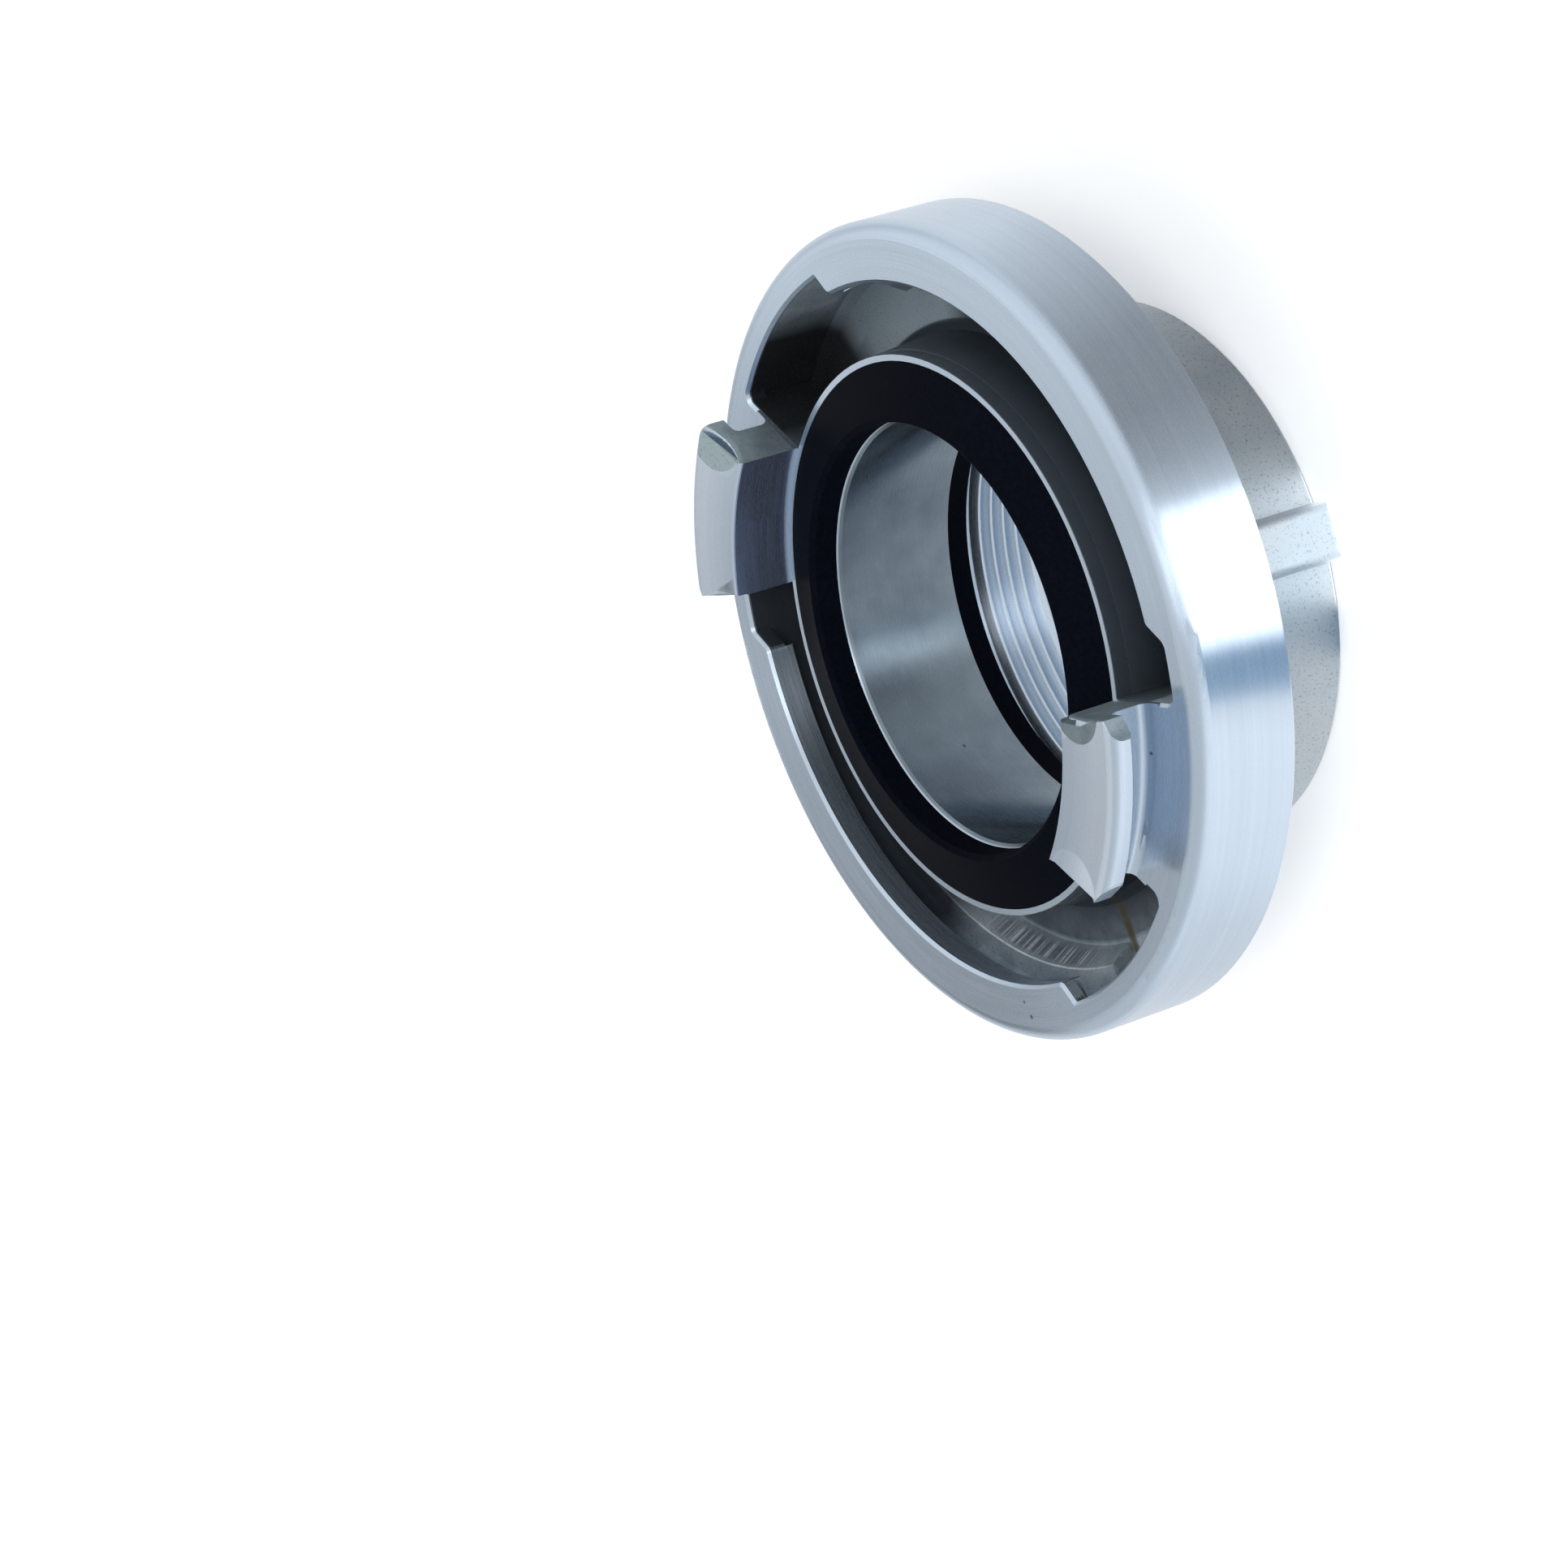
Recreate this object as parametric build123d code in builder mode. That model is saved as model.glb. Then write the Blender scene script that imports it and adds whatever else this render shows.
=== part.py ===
from build123d import *
from math import cos, radians, sin
import os

# Quarter turn coupling, 75 mm nominal size, with a 2 1/2 inch female pipe thread.
# The tail face stands on Z = 0, the axis is Z and the hooks point up.
# One hook is centred on +X and the others follow at even turns.

# Sizes that the mating coupling shares
hook_count = 2
hook_spacing = 89.0
hook_arc = 31.9
hook_height = 10.5
shank_thickness = 7.6
nose_depth = 3.6
nose_clearance = 1.35
rim_clearance = 0.2

# Hook ends: the lead end faces the entry slot, the stop end halts the mate
lead_tilt = -8.0
stop_tilt = 26.0
nose_corner_length = 4.0
nose_corner_cut = 2.0
lead_dish_place = 6.5
lead_dish_reach = 5.5
lead_dish_depth = 1.3
stop_facet_inset = 4.4
stop_facet_angle = 44.0
stop_facet_slope = 33.0
hook_end_round = 0.8
hook_front_round = 2.0
hook_face_edge = 0.4
nose_edge = 0.4
nose_root_round = 1.2
shank_root_round = 1.5

# Heights, measured back from the front of the rim
face_height = 43.0
ring_step = 0.6
ring_depth = 17.0
recess_depth = 13.4
lip_thickness = 3.4
bore_depth = 23.4

# Ring, recess and lip, from the hook's shank outwards
lip_clearance = 3.4
lip_overhang = 3.55
ring_wall = 5.75
ring_front_round = 2.6
ring_rear_chamfer = 0.7
lip_edge = 0.5
lip_corner_round = 1.5
recess_corner = 1.4
slot_corner_round = 1.5
spigot_draft = 1.2
entry_end_angle = -48.0
entry_flank_angle = 2.0
relief_end_angle = 27.0
relief_flank_angle = 2.9
ramp_length = 14.0
ramp_rise = 1.1

# Hub, lugs and threaded socket
hub_radius = 43.2
hub_edge = 1.2
hub_root = 1.2
lug_count = 2
lug_turn = 34.8
lug_top_width = 8.2
lug_foot_width = 10.2
lug_rise = 4.4
lug_edge_round = 1.3
thread_radius = 37.59
thread_chamfer = 1.0

# Bore and seal groove
bore_radius = 33.7
bore_chamfer = 0.7
rim_thickness = 0.95
groove_depth = 7.5
groove_lip_width = 2.9
groove_lip_height = 2.0
groove_lip_drop = 2.3
groove_undercut = 1.2

# Face seal and thread gasket
seal_rise = 2.6
seal_clearance = 0.1
seal_bore_step = 0.5
seal_edge = 0.9
gasket_thickness = 4.1
gasket_width = 3.9
gasket_clearance = 0.2
gasket_groove_depth = 0.9

# Room that a cutting shape takes beyond the face that it cuts
overrun = 5.0

# Places that follow from the sizes
hook_face_radius = hook_spacing / 2
rim_radius = hook_face_radius - rim_clearance
shank_radius = hook_face_radius + shank_thickness
lip_radius = shank_radius + lip_clearance
recess_radius = lip_radius + lip_overhang
ring_radius = recess_radius + ring_wall
nose_radius = recess_radius - nose_clearance
ring_front = face_height + ring_step
ring_rear = face_height - ring_depth
recess_floor = face_height - recess_depth
lip_underside = ring_front - lip_thickness
shoulder = face_height - bore_depth
gasket_groove_radius = thread_radius + gasket_groove_depth
gasket_groove_end = shoulder - gasket_thickness - gasket_clearance
spigot_foot_radius = rim_radius + spigot_draft
hook_front = face_height + hook_height
nose_underside = hook_front - nose_depth
groove_outer_radius = rim_radius - rim_thickness
groove_lip_radius = bore_radius + groove_lip_width
groove_foot_radius = groove_lip_radius - groove_undercut
groove_floor = face_height - groove_depth
groove_lip_top = face_height - groove_lip_drop
groove_lip_underside = groove_lip_top - groove_lip_height
hook_turns = [turn * 360 / hook_count for turn in range(hook_count)]
lug_turns = [lug_turn + turn * 360 / lug_count for turn in range(lug_count)]


def polar(radius, angle):
    """Point in the plan at a radius and an angle in degrees."""
    return Vector(radius * cos(radians(angle)), radius * sin(radians(angle)))


def along(point, angle, distance):
    """Point in the plan reached from another one by going a distance at an angle."""
    return point + polar(distance, angle)


def out_to(point, angle, radius):
    """Point in the plan reached from another one at an angle, on a circle round the axis."""
    step = point.dot(polar(1, angle))
    return along(point, angle, (step**2 - point.length**2 + radius**2) ** 0.5 - step)


def corners(sketch, *places):
    """Corners of a sketch that lie at the given places."""
    return [sketch.vertices().sort_by_distance(place)[0] for place in places]


# Plan of one hook and of the solid block under it: the lead end and the stop end
# start on the hook's inner face and run out across the ring.
lead_corner = polar(hook_face_radius, -hook_arc / 2)
stop_corner = polar(hook_face_radius, hook_arc / 2)
reach = ring_radius - hook_face_radius + overrun
block_plan = [
    along(lead_corner, lead_tilt, -overrun),
    along(lead_corner, lead_tilt, reach),
    along(stop_corner, stop_tilt, reach),
    along(stop_corner, stop_tilt, -overrun),
]

lead_wall = out_to(lead_corner, lead_tilt, recess_radius)
stop_wall = out_to(stop_corner, stop_tilt, recess_radius)

# Plan of the entry slot, where the mate's nose goes in, and of the short relief
# beside the stop end. Both run out past the undercut's wall, on the slope of their
# own flank.
wall_reach = recess_radius - lip_radius
entry_plan = [
    polar(rim_radius, 0),
    along(lead_corner, lead_tilt, reach),
    polar(recess_radius + overrun, entry_end_angle + entry_flank_angle * overrun / wall_reach),
    polar(recess_radius, entry_end_angle),
    polar(lip_radius, entry_end_angle - entry_flank_angle),
    polar(rim_radius, entry_end_angle),
]
relief_plan = [
    polar(rim_radius, 0),
    along(stop_corner, stop_tilt, reach),
    polar(recess_radius + overrun, relief_end_angle - relief_flank_angle * overrun / wall_reach),
    polar(recess_radius, relief_end_angle),
    polar(lip_radius, relief_end_angle + relief_flank_angle),
    polar(rim_radius, relief_end_angle),
]

# The forging falls away from the turned front at both ends of a hook: in a shallow dish
# at the lead end, and on a sloping facet at the stop end
dish_radius = (lead_dish_reach**2 + lead_dish_depth**2) / (2 * lead_dish_depth)
dish_centre = along(lead_corner, lead_tilt, lead_dish_place) + (0, 0, hook_front + dish_radius - lead_dish_depth)
facet_corner = polar(hook_face_radius, hook_arc / 2 - stop_facet_inset) + (0, 0, hook_front)
facet_fall = polar(sin(radians(stop_facet_slope)), stop_facet_angle + 90)
facet_plane = Plane(
    facet_corner,
    x_dir=polar(1, stop_facet_angle),
    z_dir=facet_fall + (0, 0, cos(radians(stop_facet_slope))),
)

# One hook: a turned section, cut to its plan with both nose corners taken off
nose_reach = nose_radius - hook_face_radius
lead_nose = along(lead_corner, lead_tilt, nose_reach)
stop_nose = along(stop_corner, stop_tilt, nose_reach)
with BuildPart() as hook:
    with BuildSketch(Plane.XZ) as hook_section:
        with BuildLine():
            Polyline(
                (hook_face_radius, recess_floor),
                (hook_face_radius, hook_front),
                (nose_radius, hook_front),
                (nose_radius, nose_underside),
                (shank_radius, nose_underside),
                (shank_radius, ring_front),
                (nose_radius, ring_front),
                (nose_radius, recess_floor),
                close=True,
            )
        make_face()
        fillet(corners(hook_section, (shank_radius, ring_front)), shank_root_round)
        fillet(corners(hook_section, (nose_radius, hook_front)), hook_front_round)
        chamfer(corners(hook_section, (nose_radius, nose_underside)), nose_edge)
        fillet(corners(hook_section, (shank_radius, nose_underside)), nose_root_round)
        chamfer(corners(hook_section, (hook_face_radius, hook_front)), hook_face_edge)
    revolve(axis=Axis.Z)
    with BuildSketch(Plane.XY.offset(recess_floor)) as hook_plan:
        with BuildLine():
            Polyline(
                along(lead_corner, lead_tilt, -overrun),
                along(lead_corner, lead_tilt, nose_reach - nose_corner_cut),
                along(lead_nose, lead_tilt + 90, nose_corner_length),
                polar(nose_radius + overrun, 0),
                along(stop_nose, stop_tilt - 90, nose_corner_length),
                along(stop_corner, stop_tilt, nose_reach - nose_corner_cut),
                along(stop_corner, stop_tilt, -overrun),
                close=True,
            )
        make_face()
    extrude(amount=hook_front - recess_floor + overrun, mode=Mode.INTERSECT)
    with Locations(dish_centre):
        Sphere(dish_radius, mode=Mode.SUBTRACT)
    dish_edges = hook.faces().filter_by(GeomType.SPHERE)[0].edges()
    fillet(dish_edges.sort_by(Axis.Z)[0], hook_end_round)
    split(bisect_by=facet_plane, keep=Keep.BOTTOM)
    facet_edges = hook.faces().filter_by(facet_plane)[0].edges()
    fillet(facet_edges.sort_by(SortBy.LENGTH)[-2:].sort_by(Axis.Z)[0], hook_end_round)

# Solid sector under each hook, which joins the spigot to the ring and stops the mate
with BuildPart() as block:
    with BuildSketch(Plane.XY.offset(recess_floor - overrun)):
        Polygon(*block_plan, align=None)
    extrude(amount=ring_front - recess_floor + 2 * overrun)

# Ramp under the entry end of each lip, which draws the mate's nose down as it turns
with BuildPart() as ramp:
    with BuildSketch(Plane.XY.offset(lip_underside)):
        Circle(recess_radius)
        Circle(rim_radius, mode=Mode.SUBTRACT)
    extrude(amount=ramp_rise)
    ramp_end = polar(1, entry_end_angle)
    with BuildSketch(Plane((0, 0, lip_underside), x_dir=ramp_end.rotate(Axis.Z, 90), z_dir=ramp_end)):
        Polygon((0, 0), (-ramp_length, 0), (0, ramp_rise), align=None)
    extrude(amount=recess_radius, mode=Mode.INTERSECT)

# The recess: an undercut channel round the spigot, and the opening above it whose edge
# is the lip, widened at the entry slots and the reliefs
with BuildPart() as recess:
    with BuildSketch(Plane.XZ) as channel_section:
        with BuildLine():
            Polyline(
                (rim_radius, ring_front + overrun),
                (rim_radius, face_height),
                (spigot_foot_radius, recess_floor),
                (recess_radius, recess_floor),
                (recess_radius, lip_underside),
                (lip_radius, lip_underside),
                (lip_radius, ring_front + overrun),
                close=True,
            )
        make_face()
        chamfer(corners(channel_section, (spigot_foot_radius, recess_floor)), recess_corner)
        chamfer(corners(channel_section, (recess_radius, recess_floor)), recess_corner)
    revolve(axis=Axis.Z)
    with BuildSketch(Plane.XY.offset(lip_underside)) as opening:
        Circle(lip_radius)
        with PolarLocations(0, hook_count):
            Polygon(*entry_plan, align=None)
            Polygon(*relief_plan, align=None)
        Circle(recess_radius, mode=Mode.INTERSECT)
        with PolarLocations(0, hook_count):
            Polygon(*block_plan, align=None, mode=Mode.SUBTRACT)
        for turn in hook_turns:
            fillet(corners(opening, polar(lip_radius, turn + entry_end_angle - entry_flank_angle)), lip_corner_round)
            fillet(corners(opening, polar(lip_radius, turn + relief_end_angle + relief_flank_angle)), lip_corner_round)
            fillet(corners(opening, polar(recess_radius, turn + relief_end_angle)), slot_corner_round)
            fillet(corners(opening, lead_wall.rotate(Axis.Z, turn)), slot_corner_round)
            fillet(corners(opening, stop_wall.rotate(Axis.Z, turn)), slot_corner_round)
        Circle(rim_radius, mode=Mode.SUBTRACT)
    extrude(amount=lip_thickness + overrun)
    for turn in hook_turns:
        add(block.part.rotate(Axis.Z, turn), mode=Mode.SUBTRACT)
        add(ramp.part.rotate(Axis.Z, turn))

# One of the hub's lugs, centred on +X: a rib with draft and with round outer edges
lug_radius = hub_radius + lug_rise
lug_foot = hub_radius - lug_rise
with BuildPart() as lug:
    with BuildSketch(Plane.XY.offset(hub_edge)):
        Polygon(
            (lug_foot, -lug_foot_width / 2),
            (lug_radius, -lug_top_width / 2),
            (lug_radius, lug_top_width / 2),
            (lug_foot, lug_foot_width / 2),
            align=None,
        )
    extrude(amount=ring_rear - hub_edge)
    outer_edges = lug.edges().group_by(Axis.X)[-1]
    fillet(outer_edges.sort_by(Axis.Z)[:-1], lug_edge_round)


def is_lip_edge(edge):
    """True for the front edge of the recess opening, out to the undercut's wall."""
    radius = Axis.Z.direction.cross(edge @ 0.5).length
    return shank_radius < radius < (recess_radius + ring_radius) / 2


# Body: one forging, turned all over on the coupling side
with BuildPart() as body:
    with BuildSketch(Plane.XZ) as body_section:
        with BuildLine():
            Polyline(
                (bore_radius, shoulder),
                (bore_radius, groove_lip_top),
                (groove_lip_radius, groove_lip_top),
                (groove_lip_radius, groove_lip_underside),
                (groove_foot_radius, groove_lip_underside),
                (groove_foot_radius, groove_floor),
                (groove_outer_radius, groove_floor),
                (groove_outer_radius, face_height),
                (hook_face_radius, face_height),
                (hook_face_radius, ring_front),
                (ring_radius, ring_front),
                (ring_radius, ring_rear),
                (hub_radius, ring_rear),
                (hub_radius, 0),
                (thread_radius, 0),
                (thread_radius, gasket_groove_end),
                (gasket_groove_radius, gasket_groove_end),
                (gasket_groove_radius, shoulder),
                close=True,
            )
        make_face()
        chamfer(corners(body_section, (bore_radius, groove_lip_top)), bore_chamfer)
        fillet(corners(body_section, (ring_radius, ring_front)), ring_front_round)
        chamfer(corners(body_section, (ring_radius, ring_rear)), ring_rear_chamfer)
        chamfer(corners(body_section, (hub_radius, ring_rear)), hub_root)
        chamfer(corners(body_section, (hub_radius, 0)), hub_edge)
        chamfer(corners(body_section, (thread_radius, 0)), thread_chamfer)
    revolve(axis=Axis.Z)
    add(recess.part, mode=Mode.SUBTRACT)
    lip_edges = body.edges().group_by(Axis.Z)[-1].filter_by(is_lip_edge)
    chamfer(lip_edges, lip_edge)
    for turn in hook_turns:
        add(hook.part.rotate(Axis.Z, turn))
    for turn in lug_turns:
        add(lug.part.rotate(Axis.Z, turn))

body.part.label = "coupling_body"

# Face seal: a foot snapped under the groove's lip and a flange that covers the lip
seal_inner_radius = bore_radius + seal_bore_step
with BuildPart() as face_seal:
    with BuildSketch(Plane.XZ) as seal_section:
        with BuildLine():
            Polyline(
                (groove_foot_radius + seal_clearance, groove_floor),
                (groove_outer_radius - seal_clearance, groove_floor),
                (groove_outer_radius - seal_clearance, face_height),
                (seal_inner_radius, face_height + seal_rise),
                (seal_inner_radius, groove_lip_top),
                (groove_lip_radius + seal_clearance, groove_lip_top),
                (groove_lip_radius + seal_clearance, groove_lip_underside - seal_clearance),
                (groove_foot_radius + seal_clearance, groove_lip_underside - seal_clearance),
                close=True,
            )
        make_face()
        chamfer(corners(seal_section, (seal_inner_radius, face_height + seal_rise)), seal_edge)
    revolve(axis=Axis.Z)

face_seal.part.label = "face_seal"

# Flat gasket in the groove at the bottom of the threaded socket, against the bore's shoulder
gasket_outer_radius = gasket_groove_radius - gasket_clearance
with BuildPart() as thread_gasket:
    with BuildSketch(Plane.XY.offset(shoulder)):
        Circle(gasket_outer_radius)
        Circle(gasket_outer_radius - gasket_width, mode=Mode.SUBTRACT)
    extrude(amount=-gasket_thickness)

thread_gasket.part.label = "thread_gasket"

os.makedirs("parts", exist_ok=True)
export_step(body.part, "parts/coupling_body.step")
export_step(face_seal.part, "parts/face_seal.step")
export_step(thread_gasket.part, "parts/thread_gasket.step")
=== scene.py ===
# %% [markdown]
# # A quarter turn hose coupling in turned and forged aluminium
#
# The frame holds the three real pieces of the coupling: the aluminium body, the black seal on
# its face and the flat gasket at the bottom of its thread. They come from the solid model, in
# metres, with the axis on Z, the tail on the floor and one hook on +X. This script gives them
# their finishes, lays on the thread, dresses the recess and the hooks, and sets up the studio.

# %% Load the frame
import bmesh
import bpy
from math import atan2, cos, pi, radians, sin, tau
from mathutils import Matrix, Vector


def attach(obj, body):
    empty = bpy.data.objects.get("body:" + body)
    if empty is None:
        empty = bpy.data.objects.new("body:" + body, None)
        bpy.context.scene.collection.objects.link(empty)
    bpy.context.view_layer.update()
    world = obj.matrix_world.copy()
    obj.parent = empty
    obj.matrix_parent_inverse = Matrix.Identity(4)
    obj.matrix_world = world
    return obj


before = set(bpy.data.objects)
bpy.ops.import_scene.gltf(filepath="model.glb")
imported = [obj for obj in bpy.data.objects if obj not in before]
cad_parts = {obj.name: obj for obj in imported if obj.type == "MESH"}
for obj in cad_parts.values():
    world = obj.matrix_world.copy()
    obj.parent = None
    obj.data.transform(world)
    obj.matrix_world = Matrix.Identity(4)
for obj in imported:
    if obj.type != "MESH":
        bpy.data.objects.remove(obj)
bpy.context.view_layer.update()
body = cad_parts["coupling_body"]
face_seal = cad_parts["face_seal"]
thread_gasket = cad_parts["thread_gasket"]

# %% [markdown]
# The camera stands where the photographer stood: three quarters of a metre away, in front and
# to one side, with a long lens, and rolled so that the coupling seems to stand on its edge. It
# could be turned by eye until the picture fits. A fit of the outlines of the ring, bore and
# hooks is surer, so the place and the directions to the right and to the back come from that.

# %% Camera
lens_mm = 111.8
sensor_mm = 36
camera_place = Vector((0.51402, 0.38639, 0.42049))
camera_right = Vector((0.54139, 0.03605, -0.84))
camera_back = Vector((0.69384, 0.5451, 0.47058)).normalized()
camera_right = (camera_right - camera_right.dot(camera_back) * camera_back).normalized()
camera_up = camera_back.cross(camera_right)
camera_data = bpy.data.cameras.new("camera")
camera_data.sensor_width = sensor_mm
camera_data.lens = lens_mm
camera = bpy.data.objects.new("camera", camera_data)
camera.matrix_world = Matrix.Translation(camera_place) @ Matrix(
    (camera_right, camera_up, camera_back)
).transposed().to_4x4()
bpy.context.scene.collection.objects.link(camera)
bpy.context.scene.camera = camera
print("camera is", round(camera_place.length, 3), "m from the tail")

# %% [markdown]
# The turned parts all follow from a few sizes of the coupling, here in millimetres as a maker
# would write them. The new pieces and the finishes are placed with them, so that both sit
# right on the solid body.

# %% Sizes of the coupling in millimetres
MM = 0.001
bore_radius = 33.7
hook_face_radius = 44.5
shank_radius = 52.1
lip_radius = 55.5
nose_radius = 57.7
recess_radius = 59.05
ring_rear = 26.0
recess_floor = 29.6
lip_underside = 38.9
rim_face = 43.0
ring_front = 43.6
hook_front = 53.5
thread_radius = 37.59
thread_crest = 36.11
thread_pitch = 25.4 / 11
print("thread pitch", round(thread_pitch, 3), "mm, depth", round(thread_radius - thread_crest, 2), "mm")

# %% [markdown]
# A finish is built from shader nodes. The node editor is one way to lay them out; here a few
# short functions do it, and the lines below then read like a recipe. One of them adds a node
# and joins it up, and the others are small masks and blends made with it.


# %% Helpers for nodes
def node(tree, kind, inputs=(), **settings):
    """Adds a node, sets its properties, and links or sets its inputs in order or by name."""
    made = tree.nodes.new(kind)
    for key, value in settings.items():
        setattr(made, key, value)
    pairs = inputs.items() if isinstance(inputs, dict) else enumerate(inputs)
    for key, value in pairs:
        if isinstance(value, bpy.types.NodeSocket):
            tree.links.new(value, made.inputs[key])
        else:
            made.inputs[key].default_value = value
    return made


def math(tree, operation, *values):
    """A math node's result."""
    return node(tree, "ShaderNodeMath", values, operation=operation).outputs[0]


def spread(tree, value, low, high, start=0.0, end=1.0):
    """Value carried from the range low to high over to the range start to end."""
    return node(tree, "ShaderNodeMapRange", (value, low, high, start, end)).outputs[0]


def both(tree, *masks):
    """Masks multiplied together."""
    total = masks[0]
    for mask in masks[1:]:
        total = math(tree, "MULTIPLY", total, mask)
    return total


def either(tree, *masks):
    """The largest of some masks."""
    total = masks[0]
    for mask in masks[1:]:
        total = math(tree, "MAXIMUM", total, mask)
    return total


def blend(tree, kind, amount, first, second):
    """Second value over the first one, by an amount. The kind is RGBA, VECTOR or FLOAT."""
    mix = node(tree, "ShaderNodeMix", data_type=kind)
    sockets = [socket for socket in mix.inputs if socket.enabled]
    for socket, value in zip(sockets, (amount, first, second)):
        if isinstance(value, bpy.types.NodeSocket):
            tree.links.new(value, socket)
        else:
            socket.default_value = value
    return [socket for socket in mix.outputs if socket.enabled][0]


def speckle(tree, vector, scale, detail=3.0, roughness=0.6):
    """A noise texture's value."""
    settings = {"Vector": vector, "Scale": scale, "Detail": detail, "Roughness": roughness}
    return node(tree, "ShaderNodeTexNoise", settings).outputs[0]


def mottled(tree, noise, dark, light, low=0.35, high=0.65):
    """Two colours that a noise blends."""
    return blend(tree, "RGBA", spread(tree, noise, low, high), dark, light)


def new_finish(name):
    """An empty material with its output and one shader in place."""
    finish = bpy.data.materials.new(name)
    finish.use_nodes = True
    tree = finish.node_tree
    tree.nodes.clear()
    shader = tree.nodes.new("ShaderNodeBsdfPrincipled")
    output = tree.nodes.new("ShaderNodeOutputMaterial")
    tree.links.new(shader.outputs[0], output.inputs[0])
    return finish, tree, shader


print("helpers ready for the finishes")

# %% [markdown]
# A finish on a turned piece needs to know where a point lies: how far from the axis, how high,
# and how far round. An unwrapped and painted picture could tell it too. The object's own
# coordinates need no unwrapping and no picture, and they stay on the metal whatever the view.


# %% Places on a turned piece
def turned_place(tree):
    """The shaded point's place, its x, y and z, its distance from the axis and its turn."""
    place = node(tree, "ShaderNodeTexCoord").outputs["Object"]
    x, y, z = node(tree, "ShaderNodeSeparateXYZ", (place,)).outputs
    square = math(tree, "ADD", math(tree, "MULTIPLY", x, x), math(tree, "MULTIPLY", y, y))
    return place, x, y, z, math(tree, "SQRT", square), math(tree, "ARCTAN2", y, x)


def beyond(tree, value, low, high):
    """0 up to low and 1 from high on, both in millimetres."""
    return spread(tree, value, low * MM, high * MM)


def within(tree, value, low, high):
    """1 up to low and 0 from high on, both in millimetres."""
    return spread(tree, value, low * MM, high * MM, 1.0, 0.0)


def span(tree, value, low, high, soft):
    """1 between two places, fading over soft at both, all in millimetres."""
    rise = beyond(tree, value, low - soft, low + soft)
    fall = within(tree, value, high - soft, high + soft)
    return both(tree, rise, fall)


def sector(tree, turn, start, end, soft):
    """1 between two turns, fading over soft at both, all in degrees."""
    rise = spread(tree, turn, radians(start - soft), radians(start + soft))
    fall = spread(tree, turn, radians(end - soft), radians(end + soft), 1.0, 0.0)
    return both(tree, rise, fall)


def disc(tree, x, y, middle, reach, soft):
    """1 inside a circle in the plan, in millimetres."""
    dx = math(tree, "SUBTRACT", x, middle[0] * MM)
    dy = math(tree, "SUBTRACT", y, middle[1] * MM)
    square = math(tree, "ADD", math(tree, "MULTIPLY", dx, dx), math(tree, "MULTIPLY", dy, dy))
    return within(tree, math(tree, "SQRT", square), reach - soft, reach + soft)


def pit(tree, place, middle, reach):
    """1 inside a small ball with a soft edge, in millimetres."""
    centre = tuple(value * MM for value in middle)
    far = node(tree, "ShaderNodeVectorMath", (place, centre), operation="DISTANCE").outputs["Value"]
    soft = 0.3 * reach
    return within(tree, far, reach - soft, reach + soft)


print("places are measured in units of", MM, "m")

# %% [markdown]
# The body is one forging. A lathe has cleaned the ring, the rim, the bore and the hooks. The
# hub, its lugs, the deep recess and the hooks' ends keep the grey, finely pitted skin of the
# blasted forging. The two skins could be two materials on separate faces, but the solid body
# has one slot. So one material holds both, and masks made of the point's place and of the
# direction of its face choose between them.

# %% Where the skin of the forging stays
edge = 0.1
hub_inside = 40.5
lug_reach = 49.0
spigot_foot = 44.1
lead_patch_middle = (-52.55, 17.05)
lead_patch_reach = 9.85
stop_patch_middle = (46.01, 15.93)
stop_patch_reach = 5.62
faces_endwise = (0.5, 0.6)
lip_faces_endwise = (0.55, 0.65)
aluminium, tree, metal = new_finish("turned_and_forged_aluminium")
place, x, y, height, radius, turn = turned_place(tree)
facing = node(tree, "ShaderNodeNewGeometry").outputs["Normal"]
facing_x, facing_y = node(tree, "ShaderNodeSeparateXYZ", (facing,)).outputs[:2]
crosswise = math(tree, "SUBTRACT", math(tree, "MULTIPLY", x, facing_y), math(tree, "MULTIPLY", y, facing_x))
endwise = math(tree, "ABSOLUTE", math(tree, "DIVIDE", crosswise, radius))

hub_skin = both(
    tree,
    span(tree, height, -10, ring_rear + 0.2, edge),
    span(tree, radius, hub_inside, lug_reach, 2 * edge),
)
lip_face = both(
    tree,
    beyond(tree, height, lip_underside - 0.2, lip_underside),
    span(tree, radius, lip_radius - 0.3, lip_radius + 0.2, edge),
    spread(tree, endwise, *lip_faces_endwise, 1.0, 0.0),
)
recess_skin = both(
    tree,
    span(tree, height, recess_floor - 1.6, rim_face - edge, edge),
    span(tree, radius, spigot_foot, recess_radius + 0.35, edge),
    math(tree, "SUBTRACT", 1.0, lip_face),
)
hook_ends = both(
    tree, beyond(tree, height, ring_front + 0.2, ring_front + 0.4), spread(tree, endwise, *faces_endwise),
)
above_front = beyond(tree, height, hook_front - 0.4, hook_front - 0.2)
lead_patch = disc(tree, x, y, lead_patch_middle, lead_patch_reach, edge / 2)
stop_patch = disc(tree, x, y, stop_patch_middle, stop_patch_reach, edge / 2)
bare_patches = both(tree, above_front, either(tree, lead_patch, stop_patch))
forged = either(tree, hub_skin, recess_skin, hook_ends, bare_patches)
print("forged skin stays on the hub, in the recess, on the hook ends and on two patches beside them")

# %% [markdown]
# The lathe's grooves run round the axis. A picture of brushed metal would show a seam and turn
# with the unwrapping, so they are drawn by a noise that changes quickly with radius and height
# and hardly at all with the turn. The blasted skin is a grain that is the same in all
# directions, with soft clouds and smears of stain in it.

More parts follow.
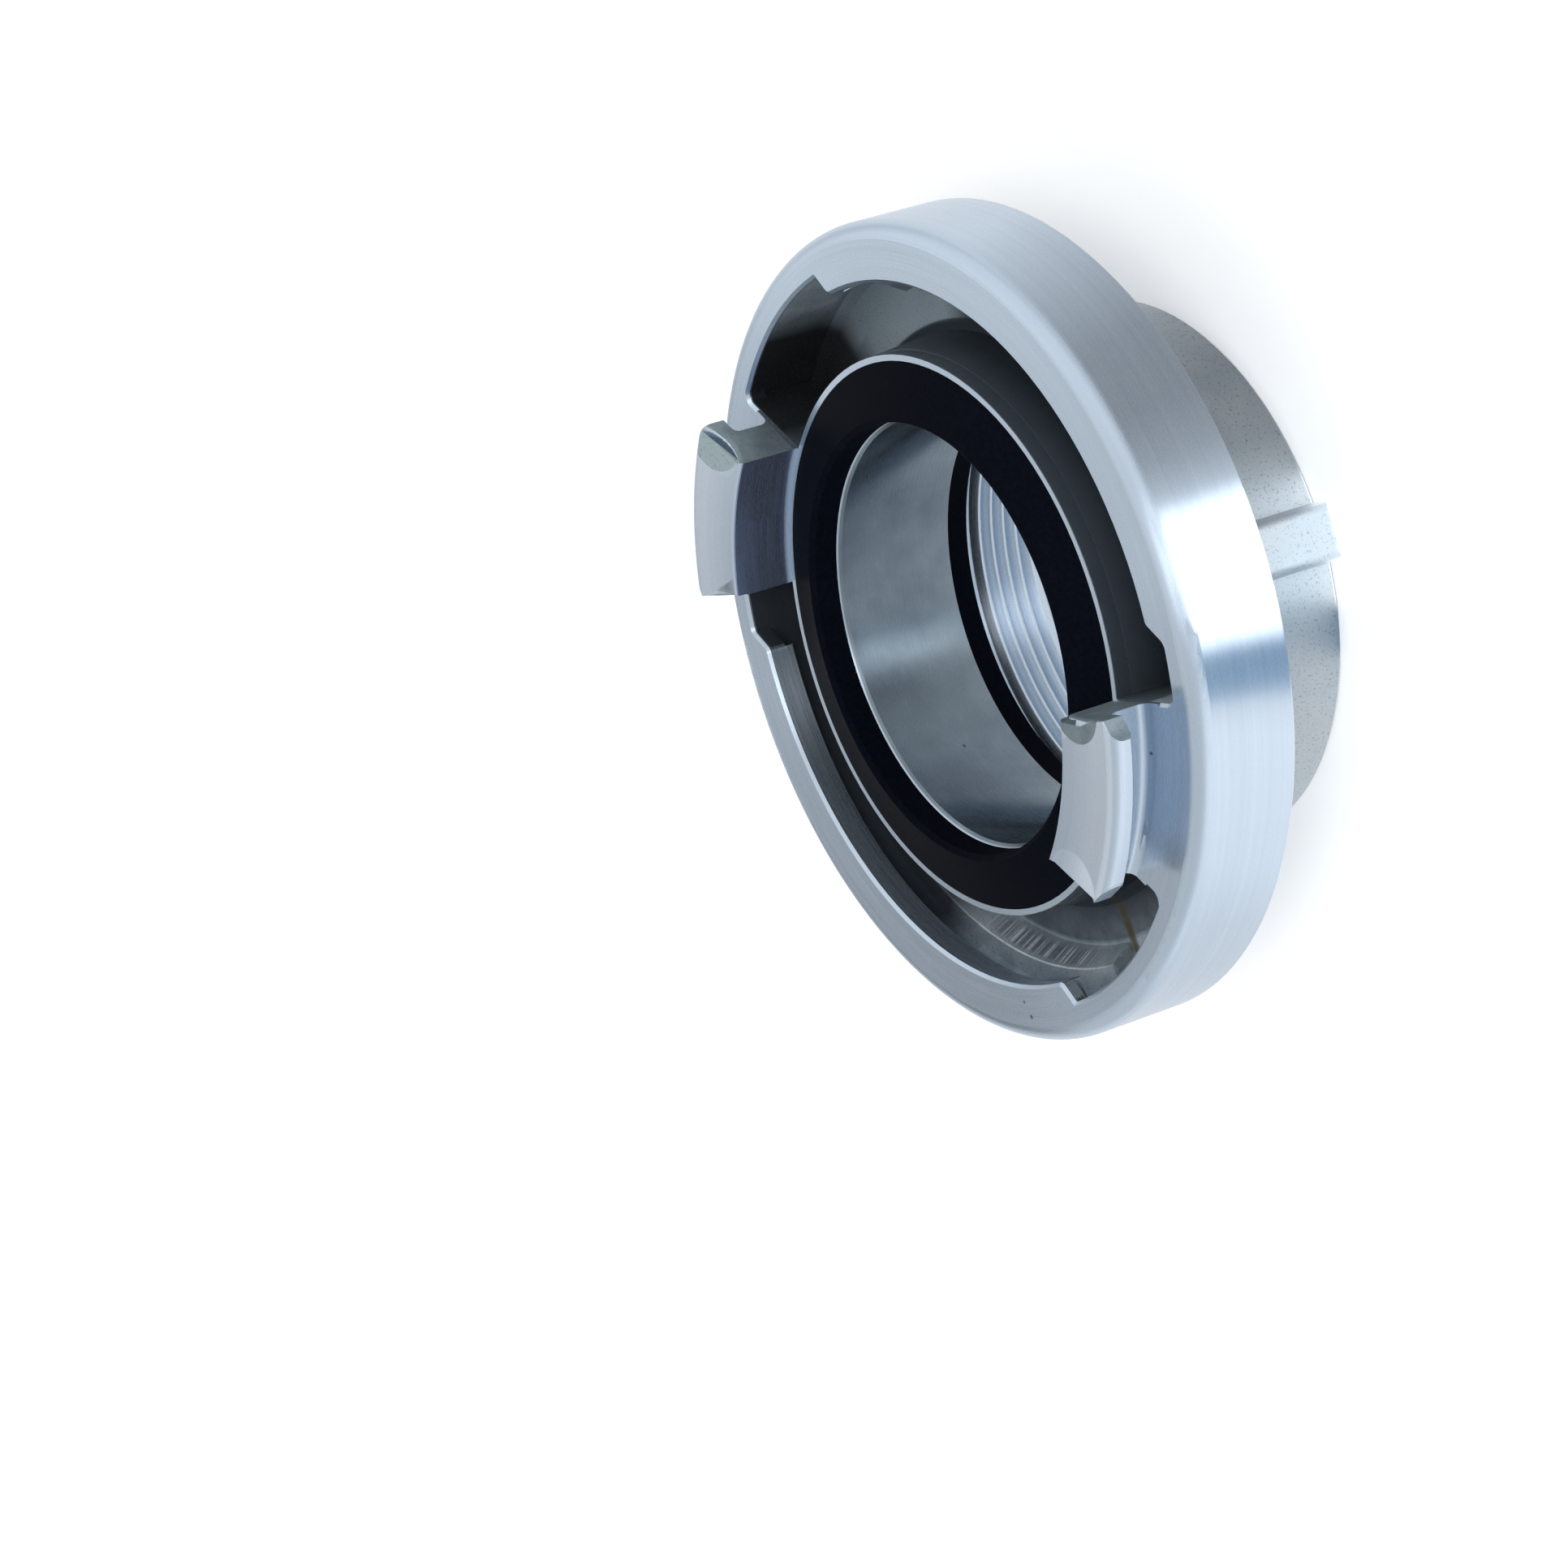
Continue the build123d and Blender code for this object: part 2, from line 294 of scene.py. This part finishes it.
# %% Texture of both skins
drift_round = 0.0005
drift = math(tree, "MULTIPLY", turn, drift_round)
turning = node(tree, "ShaderNodeCombineXYZ", (radius, drift, height)).outputs[0]
grooves = speckle(tree, turning, scale=7000.0)
broad_rings = speckle(tree, turning, scale=900.0, detail=2.0)
grain = speckle(tree, place, scale=2400.0, detail=4.0, roughness=0.65)
clouds = speckle(tree, place, scale=70.0)
smears = speckle(tree, place, scale=220.0, detail=4.0)
print("grooves, broad rings, grain, clouds and smears are drawn by noise")

# %% [markdown]
# Clean turned aluminium is a bright, slightly blue grey, and the bore is a darker one. The
# forging is duller and warmer. Each colour here is a pair that a noise blends, because no
# piece of real metal has one flat colour.

# %% Colours of the metal
turned_colour = mottled(
    tree, broad_rings, (0.51, 0.605, 0.715, 1), (0.545, 0.64, 0.75, 1), low=0.3, high=0.7,
)
bore_colour = mottled(tree, clouds, (0.155, 0.195, 0.235, 1), (0.225, 0.28, 0.325, 1))
hub_colour = mottled(tree, clouds, (0.40, 0.47, 0.53, 1), (0.50, 0.55, 0.59, 1))
end_colour = mottled(tree, smears, (0.19, 0.245, 0.28, 1), (0.27, 0.33, 0.36, 1))
# Painted reflection: the hooks' inner faces get a flat dark blue that stands for the dark seal and recess
# mirrored in them.
inner_face_painted_reflection_colour = (0.25, 0.31, 0.46, 1)
lead_patch_colour = (0.42, 0.52, 0.545, 1)

bore_depth = 19.0
bore_skin = both(
    tree,
    within(tree, radius, bore_radius + 0.3, bore_radius + 0.5),
    beyond(tree, height, bore_depth, bore_depth + 0.6),
)
# Where the painted reflection lies: the hooks' inner faces above the ring's front.
painted_reflection_faces = both(
    tree,
    within(tree, radius, hook_face_radius + 0.1, hook_face_radius + 0.2),
    beyond(tree, height, ring_front + 0.1, ring_front + 0.4),
)
dull_ends = either(tree, hook_ends, both(tree, above_front, stop_patch))
colour = blend(tree, "RGBA", bore_skin, turned_colour, bore_colour)
colour = blend(tree, "RGBA", painted_reflection_faces, colour, inner_face_painted_reflection_colour)
colour = blend(tree, "RGBA", hub_skin, colour, hub_colour)
colour = blend(tree, "RGBA", dull_ends, colour, end_colour)
colour = blend(tree, "RGBA", both(tree, above_front, lead_patch), colour, lead_patch_colour)
print("colours laid on the bore, the hook faces and ends, and the hub")

# %% [markdown]
# The recess is the darkest place, with painted shade in its colour. It is darkest at the foot
# of the spigot and low down, brighter on the machined ledge, and has a painted shadow on one
# side. One sector of its floor, beside an entry slot, has painted light and is paler. Painting
# this by hand would need an unwrapped body, so soft masks by radius, height and turn do it.

# %% Painted shade and light in the recess
lit_height = (35.0, 42.5)
dark_foot = (46.2, 51.5)
ledge_from = (52.2, 53.2)
shadow_from = (46.0, 50.0)
lit_floor_from = (46.5, 47.2)
lit_floor_turns = (116, 151)
shadow_turns_above = (150, 185)
shadow_turns_below = (-185, -92)
darker_past = (-5.0, 5.0)
# Painted shade: darker low in the recess, lighter towards the lip.
deep_painted_shade_colour = blend(
    tree, "RGBA", beyond(tree, height, *lit_height), (0.055, 0.067, 0.083, 1), (0.13, 0.155, 0.185, 1),
)
# Painted shade on the floor and drafted wall, lighter than at the spigot's foot; the machined ledge is
# lighter metal.
outer_painted_shade_colour = mottled(tree, smears, (0.12, 0.145, 0.17, 1), (0.19, 0.225, 0.255, 1))
ledge_colour = mottled(tree, smears, (0.40, 0.48, 0.55, 1), (0.55, 0.63, 0.70, 1))
# Painted shadow on one side of the recess, darker still on the +Y side.
painted_side_shadow_colour = blend(
    tree, "RGBA", beyond(tree, y, *darker_past), (0.085, 0.1, 0.12, 1), (0.036, 0.041, 0.046, 1),
)
# Painted light on one sector of the recess floor beside an entry slot.
painted_lit_floor_colour = (0.3, 0.365, 0.415, 1)

# Turns where the painted shadow lies in the recess.
shadow_side_turns = either(
    tree, sector(tree, turn, *shadow_turns_above, 4), sector(tree, turn, *shadow_turns_below, 5),
)
painted_side_shadow = both(tree, shadow_side_turns, beyond(tree, radius, *shadow_from))
# Where the painted light lies: one sector of the floor, away from the spigot.
painted_lit_floor = both(
    tree,
    sector(tree, turn, *lit_floor_turns, 4),
    within(tree, height, recess_floor + 2.2, recess_floor + 3.2),
    beyond(tree, radius, *lit_floor_from),
)
outer_painted_shade_colour = blend(tree, "RGBA", beyond(tree, radius, *ledge_from), outer_painted_shade_colour, ledge_colour)
# Painted shade darkest at the spigot's foot.
recess_painted_shade_and_light = blend(tree, "RGBA", beyond(tree, radius, *dark_foot), deep_painted_shade_colour, outer_painted_shade_colour)
recess_painted_shade_and_light = blend(tree, "RGBA", painted_side_shadow, recess_painted_shade_and_light, painted_side_shadow_colour)
recess_painted_shade_and_light = blend(tree, "RGBA", painted_lit_floor, recess_painted_shade_and_light, painted_lit_floor_colour)
colour = blend(tree, "RGBA", recess_skin, colour, recess_painted_shade_and_light)
print("recess darkened below", rim_face, "mm")

# %% [markdown]
# Use and making leave small marks: the cutter's chatter below the lip, dark specks in the
# forged skin, hook fronts burnished by the mate, a yellow-brown stain at the end of an entry
# slot, and a few pits. Modelled marks would cost many faces for less than a tenth of a
# millimetre, so these are colour only.

# %% Marks of the cutter and of use
cutter_radius = 55.0
chatter_turns = (-86, -58)
chatter_heights = (30.5, 33.6)
chatter_radii = (53.0, 55.3)
burnished_from = (46.0, 53.0)
burnished_amount = 0.6
stain_turns = (-49.5, -47.5)
pit_amount = 0.8
chatter_colour = (0.26, 0.31, 0.36, 1)
bright_mark_colour = (0.80, 0.88, 0.96, 1)
speck_colour = (0.10, 0.115, 0.12, 1)
burnished_colour = (0.74, 0.82, 0.92, 1)
stain_colour = (0.11, 0.085, 0.035, 1)
pit_colour = (0.05, 0.055, 0.06, 1)
pits = [
    ((52.52, 8.54, ring_front), 0.3), ((29.23, -53.0, ring_front), 0.35), ((27.1, -51.5, ring_front), 0.25),
    ((-12.68, -31.2, 28.86), 0.28), ((18.9, 50.6, ring_front), 0.2),
]

round_way = math(tree, "MULTIPLY", turn, cutter_radius * MM)
cutter_path = node(tree, "ShaderNodeCombineXYZ", (round_way, 0.0, 0.0)).outputs[0]
cutter_marks = speckle(tree, cutter_path, scale=900.0, detail=2.0, roughness=0.7)
chatter = both(
    tree,
    sector(tree, turn, *chatter_turns, 3),
    span(tree, height, *chatter_heights, 0.6),
    span(tree, radius, *chatter_radii, 0.3),
)
bright_marks = both(tree, chatter, spread(tree, cutter_marks, 0.48, 0.56))
specks = both(tree, forged, spread(tree, grain, 0.56, 0.68, 0.0, 0.55))
burnished = both(
    tree, above_front, beyond(tree, radius, *burnished_from), math(tree, "SUBTRACT", 1.0, bare_patches),
)
stain = both(
    tree, sector(tree, turn, *stain_turns, 0.5), recess_skin, spread(tree, smears, 0.47, 0.54, 0.0, 0.85),
)
pitted = either(tree, *[pit(tree, place, middle, reach) for middle, reach in pits])
colour = blend(tree, "RGBA", chatter, colour, chatter_colour)
colour = blend(tree, "RGBA", bright_marks, colour, bright_mark_colour)
colour = blend(tree, "RGBA", specks, colour, speck_colour)
colour = blend(tree, "RGBA", math(tree, "MULTIPLY", burnished, burnished_amount), colour, burnished_colour)
colour = blend(tree, "RGBA", stain, colour, stain_colour)
colour = blend(tree, "RGBA", math(tree, "MULTIPLY", pitted, pit_amount), colour, pit_colour)
tree.links.new(colour, metal.inputs["Base Color"])
metal.inputs["Metallic"].default_value = 1
print("marks laid on, with", len(pits), "pits")

# %% [markdown]
# Light on a turned face spreads across the grooves, not along them. The shader's anisotropy
# does this without thousands of modelled grooves. The tangent runs round the axis, and a
# quarter turn of it sets the spread: along the radius on a front face and along the axis on a
# cylinder. On the forged skin a fine noise breaks the tangent up, so that no direction is left.

# %% Gloss and grooves of the body
turned_roughness = (0.25, 0.31)
forged_roughness = (0.46, 0.58)
groove_share = 0.09
grain_share = 1.6
relief_strength = 0.22
relief_depth = 0.05
round_axis = node(tree, "ShaderNodeTangent", direction_type="RADIAL", axis="Z").outputs[0]
scatter = node(tree, "ShaderNodeTexWhiteNoise", (place,), noise_dimensions="3D").outputs["Color"]
scatter = node(tree, "ShaderNodeVectorMath", (scatter, (0.5, 0.5, 0.5)), operation="SUBTRACT").outputs[0]
tree.links.new(blend(tree, "VECTOR", forged, round_axis, scatter), metal.inputs["Tangent"])
metal.inputs["Anisotropic"].default_value = 0.9
metal.inputs["Anisotropic Rotation"].default_value = 0.25
turned_gloss = spread(tree, grooves, 0.3, 0.7, *turned_roughness)
forged_gloss = spread(tree, clouds, 0.3, 0.7, *forged_roughness)
tree.links.new(blend(tree, "FLOAT", forged, turned_gloss, forged_gloss), metal.inputs["Roughness"])
groove_relief = math(tree, "MULTIPLY", grooves, groove_share)
grain_relief = math(tree, "MULTIPLY", grain, grain_share)
relief = blend(tree, "FLOAT", forged, groove_relief, grain_relief)
bumps = {"Strength": relief_strength, "Distance": relief_depth * MM, "Height": relief}
bump = node(tree, "ShaderNodeBump", bumps)
tree.links.new(bump.outputs[0], metal.inputs["Normal"])
for slot in body.material_slots:
    slot.material = aluminium
print("body finish on", len(body.material_slots), "slot with", len(tree.nodes), "nodes")

# %% [markdown]
# The seal and the gasket are moulded in black rubber, a little glossy where the mould was
# polished, and dusted by use. Plain black would look like a hole in the picture, so a fine
# noise moves the colour, the gloss and the surface by a little.

# %% Rubber
rubber, tree, black = new_finish("moulded_black_rubber")
place = node(tree, "ShaderNodeTexCoord").outputs["Object"]
mould = speckle(tree, place, scale=1500.0)
dust = speckle(tree, place, scale=160.0, detail=4.0)
tint = mottled(tree, mould, (0.0016, 0.0022, 0.0045, 1), (0.0028, 0.0038, 0.0072, 1))
tint = blend(tree, "RGBA", spread(tree, dust, 0.6, 0.75, 0.0, 0.3), tint, (0.006, 0.008, 0.014, 1))
tree.links.new(tint, black.inputs["Base Color"])
tree.links.new(spread(tree, mould, 0.3, 0.7, 0.36, 0.48), black.inputs["Roughness"])
black.inputs["Specular Tint"].default_value = (0.6, 0.75, 1.0, 1)
black.inputs["Specular IOR Level"].default_value = 0.01
bump = node(tree, "ShaderNodeBump", {"Strength": 0.12, "Distance": 0.04 * MM, "Height": mould})
tree.links.new(bump.outputs[0], black.inputs["Normal"])
for piece in (face_seal, thread_gasket):
    for slot in piece.material_slots:
        slot.material = rubber
print("rubber on the seal and the gasket")


# %% [markdown]
# New pieces are closed skins made of rings of points: each ring is one cross-section, and the
# next one lies a step further round the axis. A spin modifier would give the same for a plain
# turned shape, but the thread climbs and the hooks' ends slant, so the rings are set one by
# one. A face closes each end.


# %% Helper for swept pieces
def sweep(name, sections, smooth):
    """A closed aluminium piece through cross-sections, each a list of points (radius, turn, height)."""
    mesh = bmesh.new()
    rings = []
    for section in sections:
        ring = []
        for away, round_by, up in section:
            point = Vector((away * cos(round_by), away * sin(round_by), up)) * MM
            ring.append(mesh.verts.new(point))
        rings.append(ring)
    for near, far in zip(rings, rings[1:]):
        for index in range(len(near)):
            after = (index + 1) % len(near)
            mesh.faces.new((near[index], near[after], far[after], far[index]))
    mesh.faces.new(rings[0])
    mesh.faces.new(reversed(rings[-1]))
    bmesh.ops.recalc_face_normals(mesh, faces=mesh.faces)
    data = bpy.data.meshes.new(name)
    mesh.to_mesh(data)
    mesh.free()
    piece = bpy.data.objects.new(name, data)
    bpy.context.scene.collection.objects.link(piece)
    data.materials.append(aluminium)
    data.shade_smooth()
    data.set_sharp_from_angle(angle=radians(smooth))
    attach(piece, "root")
    print(name, "has", len(data.polygons), "faces")


# %% [markdown]
# The female thread is a plain parallel pipe thread with eleven turns to the inch and round
# crests and roots. In the solid it is a plain wall at the root. Cutting a groove into that wall
# would need a heavy cut through many faces, so the ridge between two grooves is laid on the
# wall instead, as one long helix that fades out at both ends.

# %% Thread
thread_start = 1.35
thread_end = 14.1
thread_steps = 200
thread_foot = thread_radius + 0.15
fade_turns = 0.25
lowest_ridge = 0.02
thread_sharp_angle = 40
ridge = [(-1.12, 37.72), (-0.93, 37.4), (-0.33, 36.32), (-0.2, 36.15), (0.0, thread_crest)]
ridge = ridge + [(-along, away) for along, away in reversed(ridge[:-1])]
thread_turns = (thread_end - thread_start) / thread_pitch
sections = []
for step in range(int(thread_turns * thread_steps) + 1):
    turned = step / thread_steps
    full = min(1.0, min(turned, thread_turns - turned) / fade_turns)
    sections.append([
        (
            thread_foot - (thread_foot - away) * max(full, lowest_ridge), turned * tau,
            thread_start + turned * thread_pitch + along,
        )
        for along, away in ridge
    ])
sweep("pipe_thread", sections, thread_sharp_angle)
print("thread of", round(thread_turns, 2), "turns")

# %% [markdown]
# Below the lip the recess has a machined undercut with a flat ledge, and under the ledge the
# forging's wall still has its draft. The undercut gets lower towards the entry slot, where a
# ramp leads the mate's hook in. One liner on each side of the coupling carries the lip's
# underside, the undercut, the ledge and the drafted wall, from the relief to the entry slot.

# %% Recess liners
lip_above = 40.2
ledge_height = 34.0
ledge_edge = 0.25
ledge_edge_drop = 0.15
wall_draft = 2.4
ramp_length = 30.0
ramp_rise = 2.4
least_lip = 0.02
undercut_skin = 0.08
floor_room = 0.03
behind_wall = 0.4
liner_start = radians(30.2)
liner_end = radians(130.5)
liner_steps = 96
turned_sharp_angle = 25
for side in range(2):
    sections = []
    for step in range(liner_steps + 1):
        turned = liner_start + (liner_end - liner_start) * step / liner_steps
        to_entry = (liner_end - turned) * lip_radius
        ramp = ramp_rise * max(0.0, 1 - to_entry / ramp_length)
        under = min(lip_underside + ramp, lip_above - least_lip)
        profile = [
            (lip_radius, lip_above),
            (lip_radius, under),
            (recess_radius - undercut_skin, under),
            (recess_radius - undercut_skin, ledge_height),
            (lip_radius + ledge_edge, ledge_height),
            (lip_radius, ledge_height - ledge_edge_drop),
            (lip_radius - wall_draft, recess_floor + floor_room),
            (recess_radius + behind_wall, recess_floor + floor_room),
            (recess_radius + behind_wall, lip_above),
        ]
        sections.append([(away, turned + side * pi, up) for away, up in profile])
    sweep("recess_liner_%d" % (side + 1), sections, turned_sharp_angle)

# %% [markdown]
# The hooks' front faces are turned flat right out to their ends, and only the ends themselves
# are as forged. In the solid a dish and a slanting facet eat into those fronts. A core in each
# hook, a hair smaller than the hook, brings both ends out to their true planes. Its profile is
# the hook's own: shank, nose with its root round, and the round front edge.

# %% Hook cores
hair = 0.012
facet_room = 0.09
hook_arc = radians(31.9)
lead_tilt = radians(-8.0)
stop_tilt = radians(26.0)
end_edge = 0.6
hook_steps = 40
nose_thickness = 3.6
nose_round = 2.0
nose_round_steps = 4
inner_edge = 0.4
nose_low_edge = 0.5
root_round = 1.2
root_cut = 0.2
sunk = 0.3
nose_underside = hook_front - nose_thickness
nose_corner_cut = 2.3
nose_corner_length = 4.4


def end_turn(away, side, tilt):
    """Turn at which a hook's end crosses a radius. The end starts as a plane at the inner face's
    corner, and a second plane takes the nose's corner off."""
    corner = Vector((hook_face_radius * cos(side), hook_face_radius * sin(side)))
    path = Vector((cos(tilt), sin(tilt)))
    step = corner.dot(path)
    reach = (step ** 2 - corner.length_squared + away ** 2) ** 0.5 - step
    end = corner + path * reach
    past = max(0.0, reach - (nose_radius - hook_face_radius - nose_corner_cut))
    cut = past * nose_corner_length / nose_corner_cut / away
    return atan2(end.y, end.x) + (cut if side < 0 else -cut)


nose_edge = []
for step in range(nose_round_steps + 1):
    angle = radians(90 - 90 * step / nose_round_steps)
    rise = nose_round - hair - (facet_room - hair) * cos(angle)
    nose_edge.append((
        nose_radius - nose_round + (nose_round - facet_room) * cos(angle),
        hook_front - nose_round + rise * sin(angle),
    ))
inner_side = [
    (hook_face_radius + hair, ring_front - sunk),
    (hook_face_radius + hair, hook_front - inner_edge),
    (hook_face_radius + inner_edge, hook_front - hair),
]
outer_side = [
    (nose_radius - facet_room, nose_underside + nose_low_edge),
    (nose_radius - nose_low_edge, nose_underside + facet_room),
    (shank_radius + root_round, nose_underside + facet_room),
    (shank_radius + root_cut, nose_underside - root_cut),
    (shank_radius - facet_room, nose_underside - root_round),
    (shank_radius - facet_room, ring_front + root_round),
    (shank_radius - facet_room, ring_front - sunk),
]
profile = inner_side + nose_edge + outer_side
for side in range(2):
    sections = []
    for step in range(hook_steps + 1):
        share = step / hook_steps
        section = []
        for away, up in profile:
            set_back = max(0.0, up - (hook_front - end_edge)) / away
            lead = end_turn(away, -hook_arc / 2, lead_tilt) + set_back + hair / away
            stop = end_turn(away, hook_arc / 2, stop_tilt) - set_back - hair / away
            section.append((away, lead + (stop - lead) * share + side * pi, up))
        sections.append(section)
    sweep("hook_core_%d" % (side + 1), sections, turned_sharp_angle)

# %% [markdown]
# The coupling stands on white paper. The paper could be made white by more light, but that
# would wash out the metal too. So it gets a little light of its own, which only the camera and
# the gloss see, and the shadow under the coupling stays soft and visible.

# %% Paper
floor_reach = 6.0
floor_gap = 0.0001
paper_white = (0.93, 0.93, 0.93, 1)
paper_glow = 0.22
corners = [(-1, -1), (1, -1), (1, 1), (-1, 1)]


def level_sheet(name, reach, up, finish):
    """A square sheet that lies level at a height."""
    mesh = bpy.data.meshes.new(name)
    mesh.from_pydata([(reach * a, reach * b, up) for a, b in corners], [], [(0, 1, 2, 3)])
    sheet = bpy.data.objects.new(name, mesh)
    bpy.context.scene.collection.objects.link(sheet)
    mesh.materials.append(finish)
    return sheet


paper, tree, white = new_finish("white_paper")
white.inputs["Base Color"].default_value = paper_white
white.inputs["Roughness"].default_value = 0.9
white.inputs["Specular IOR Level"].default_value = 0.0
white.inputs["Emission Color"].default_value = (1, 1, 1, 1)
rays = node(tree, "ShaderNodeLightPath").outputs
seen = either(tree, rays["Is Camera Ray"], rays["Is Glossy Ray"], rays["Is Transmission Ray"])
tree.links.new(math(tree, "MULTIPLY", seen, paper_glow), white.inputs["Emission Strength"])
level_sheet("floor", floor_reach, -floor_gap, paper)
print("paper of", 2 * floor_reach, "m")


# %% [markdown]
# Polished metal shows what stands round it. A photographer lays light and dark cards round
# such a piece, and the turned ring then has long bright and dark bands. Many small cards would
# need much moving about, so one sheet of cards lies on the paper here. Only the gloss of the
# metal sees it, and its tone changes with the turn.


# %% Cards round the coupling
def for_gloss_only(sheet):
    """Hides a sheet from every ray but those of the gloss."""
    sheet.visible_camera = False
    sheet.visible_diffuse = False
    sheet.visible_transmission = False
    sheet.visible_shadow = False


def glowing(name):
    """A finish that only gives light."""
    finish, tree, glow = new_finish(name)
    glow.inputs["Base Color"].default_value = (0, 0, 0, 1)
    glow.inputs["Specular IOR Level"].default_value = 0.0
    return finish, tree, glow


card_reach = 0.6
card_height = 0.0004
brightest = 2.6
blue_start = 10
blue_end = 20
blue_cast = 1.35
tones = [
    (-180, 1.0), (-60, 0.95), (-44, 1.0), (-28, 1.2), (2, 1.3), (8, 1.15), (10.5, 0.45), (19, 0.4),
    (20.5, 2.4), (33, 2.6), (46, 2.3), (49, 0.8), (57, 0.48), (68, 0.34), (84, 0.38), (100, 0.62),
    (127, 1.0), (145, 1.0), (180, 0.98),
]
cards, tree, card = glowing("light_and_dark_cards")
turn = turned_place(tree)[-1]
ramp = node(tree, "ShaderNodeValToRGB", (spread(tree, turn, -pi, pi),))
while len(ramp.color_ramp.elements) < len(tones):
    ramp.color_ramp.elements.new(0.5)
for element, (angle, tone) in zip(ramp.color_ramp.elements, tones):
    element.position = (angle + 180) / 360
for element, (angle, tone) in zip(ramp.color_ramp.elements, tones):
    level = tone / brightest
    blue = blue_cast if blue_start < angle < blue_end else 1.0
    element.color = (level * (2 - blue), level, level * blue, 1)
tree.links.new(ramp.outputs[0], card.inputs["Emission Color"])
card.inputs["Emission Strength"].default_value = brightest
for_gloss_only(level_sheet("cards", card_reach, card_height, cards))
print("cards in", len(tones), "tones")

# %% [markdown]
# The front faces look up and away from the camera, into a large softbox that is brighter
# towards one side. It is a sheet that only the gloss sees, like the cards. A dark corner in it
# shades the near part of the ring's front.

# %% Front softbox
front_box_reach = 1.1
front_box_height = 0.42
dim_level = 0.74
bright_level = 1.04
corner_level = 0.05
softbox_finish, tree, glow = glowing("uneven_softbox")
place = node(tree, "ShaderNodeTexCoord").outputs["Object"]
across, along_box = node(tree, "ShaderNodeSeparateXYZ", (place,)).outputs[:2]
slope = math(tree, "SUBTRACT", along_box, across)
level = spread(tree, slope, -0.05, 0.30, dim_level, bright_level)
dark_across = spread(tree, across, -0.47, -0.43, 1.0, 0.0)
dark_along = spread(tree, along_box, -0.43, -0.38, 1.0, 0.0)
dark_corner = both(tree, dark_across, dark_along)
level = math(tree, "MULTIPLY", level, spread(tree, dark_corner, 0.0, 1.0, 1.0, corner_level))
glow.inputs["Emission Color"].default_value = (1, 1, 1, 1)
tree.links.new(level, glow.inputs["Emission Strength"])
for_gloss_only(level_sheet("front_softbox", front_box_reach, front_box_height, softbox_finish))
print("softbox", front_box_height, "m up")

# %% [markdown]
# The rest of the room is even and a little blue, and brighter towards a window on one side.
# A world light fills the shadows softly from everywhere, which one lamp alone could not do.

# %% World
room_tint = (0.97, 0.985, 1.0, 1)
room_level = 0.76
window_level = 1.35
window_turn = radians(-35)
window_rise = 0.35
world = bpy.data.worlds.new("studio")
bpy.context.scene.world = world
world.use_nodes = True
tree = world.node_tree
background = tree.nodes["Background"]
background.inputs["Color"].default_value = room_tint
window_side = Vector((cos(window_turn), sin(window_turn), window_rise)).normalized()
outward = node(tree, "ShaderNodeTexCoord").outputs["Generated"]
facing_window = node(tree, "ShaderNodeVectorMath", (outward, window_side), operation="DOT_PRODUCT")
towards = facing_window.outputs["Value"]
tree.links.new(spread(tree, towards, 0.55, 0.95, room_level, window_level), background.inputs["Strength"])
print("room at", room_level, "and window side at", window_level)

# %% [markdown]
# One lamp stands high above and behind the camera, and gives the coupling its shadow on the
# paper. A small lamp would draw a hard edge, so its face is half a metre wide, as a softbox is.

# %% Key lamp
lamp_size = 0.5
lamp_power = 9
lamp_place = Vector((0.9, 0.7, 0.9))
lamp_aim = Vector((0, 0, 0.03))
lamp = bpy.data.lights.new("key", "AREA")
lamp.shape = "RECTANGLE"
lamp.size = lamp_size
lamp.size_y = lamp_size
lamp.energy = lamp_power
stand = bpy.data.objects.new("key", lamp)
stand.location = lamp_place
stand.rotation_euler = (lamp_aim - lamp_place).to_track_quat("-Z", "Y").to_euler()
bpy.context.scene.collection.objects.link(stand)
bpy.context.scene.view_settings.view_transform = "Standard"
print("key lamp of", lamp_power, "W,", round((lamp_place - lamp_aim).length, 2), "m away")
